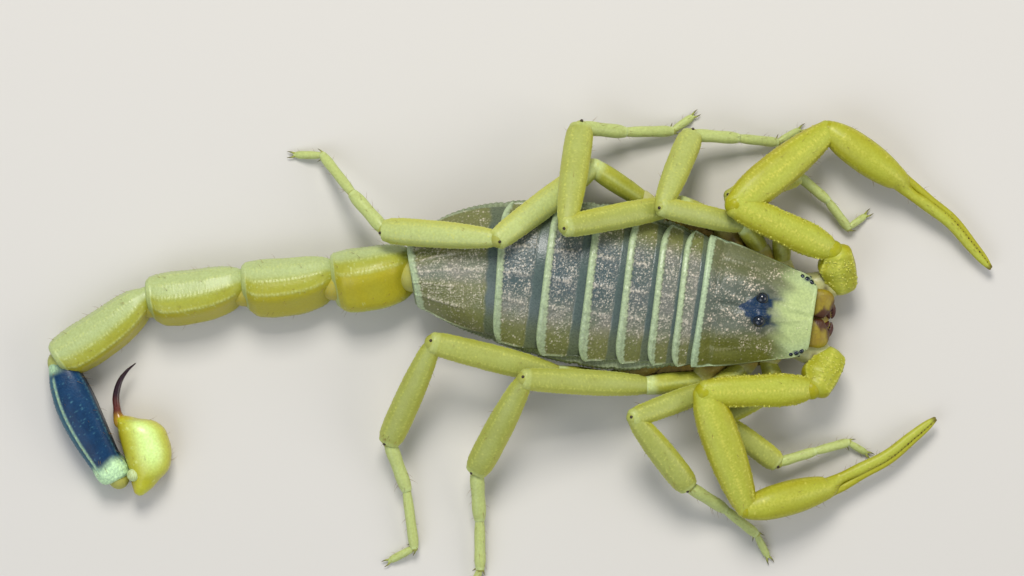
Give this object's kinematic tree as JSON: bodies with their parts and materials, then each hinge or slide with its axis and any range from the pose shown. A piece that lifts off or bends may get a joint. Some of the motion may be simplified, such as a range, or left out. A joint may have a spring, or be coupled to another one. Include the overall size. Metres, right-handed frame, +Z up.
{
  "type": "scorpion",
  "caption": "Life-size still model of a slender-clawed desert scorpion resting flat, its tail laid on one side and curled back at the tip.",
  "frame": {"origin": "middle of the footprint, at floor level", "axes": "the head looks along -Y and the tail lies along +Y, the animal's left side is +X, up is +Z"},
  "size_m": [0.048, 0.0852, 0.0112],
  "materials": {
    "back_plate": "granular, half matt",
    "underside": "smooth, half matt",
    "limb": "satin",
    "tail_plate": "satin",
    "dark_tail": "satin",
    "chelicera": "satin",
    "sting": "glossy",
    "eye": "glossy"
  },
  "bodies": {
    "root": {"aculeus": "sting", "carapace": "back_plate", "chelicera_left": "chelicera", "chelicera_right": "chelicera", "coxosternum": "underside", "eye_median_left": "eye", "eye_median_right": "eye", "eyes_lateral_left": "eye", "eyes_lateral_right": "eye", "leg_left_1_femur": "limb", "leg_left_1_foot": "limb", "leg_left_1_patella": "limb", "leg_left_2_femur": "limb", "leg_left_2_foot": "limb", "leg_left_2_patella": "limb", "leg_left_3_femur": "limb", "leg_left_3_foot": "limb", "leg_left_3_patella": "limb", "leg_left_4_femur": "limb", "leg_left_4_foot": "limb", "leg_left_4_patella": "limb", "leg_right_1_femur": "limb", "leg_right_1_foot": "limb", "leg_right_1_patella": "limb", "leg_right_2_femur": "limb", "leg_right_2_foot": "limb", "leg_right_2_patella": "limb", "leg_right_3_femur": "limb", "leg_right_3_foot": "limb", "leg_right_3_patella": "limb", "leg_right_4_femur": "limb", "leg_right_4_foot": "limb", "leg_right_4_patella": "limb", "mesosoma_underside": "underside", "metasoma_1": "tail_plate", "metasoma_2": "tail_plate", "metasoma_3": "tail_plate", "metasoma_4": "tail_plate", "metasoma_5": "dark_tail", "palp_left_femur": "limb", "palp_left_finger": "limb", "palp_left_hand": "limb", "palp_left_patella": "limb", "palp_left_trochanter": "limb", "palp_right_femur": "limb", "palp_right_finger": "limb", "palp_right_hand": "limb", "palp_right_patella": "limb", "palp_right_trochanter": "limb", "pecten_left": "underside", "pecten_right": "underside", "telson_vesicle": "tail_plate", "tergite_1": "back_plate", "tergite_2": "back_plate", "tergite_3": "back_plate", "tergite_4": "back_plate", "tergite_5": "back_plate", "tergite_6": "back_plate", "tergite_7": "back_plate"}
  },
  "joints": []
}
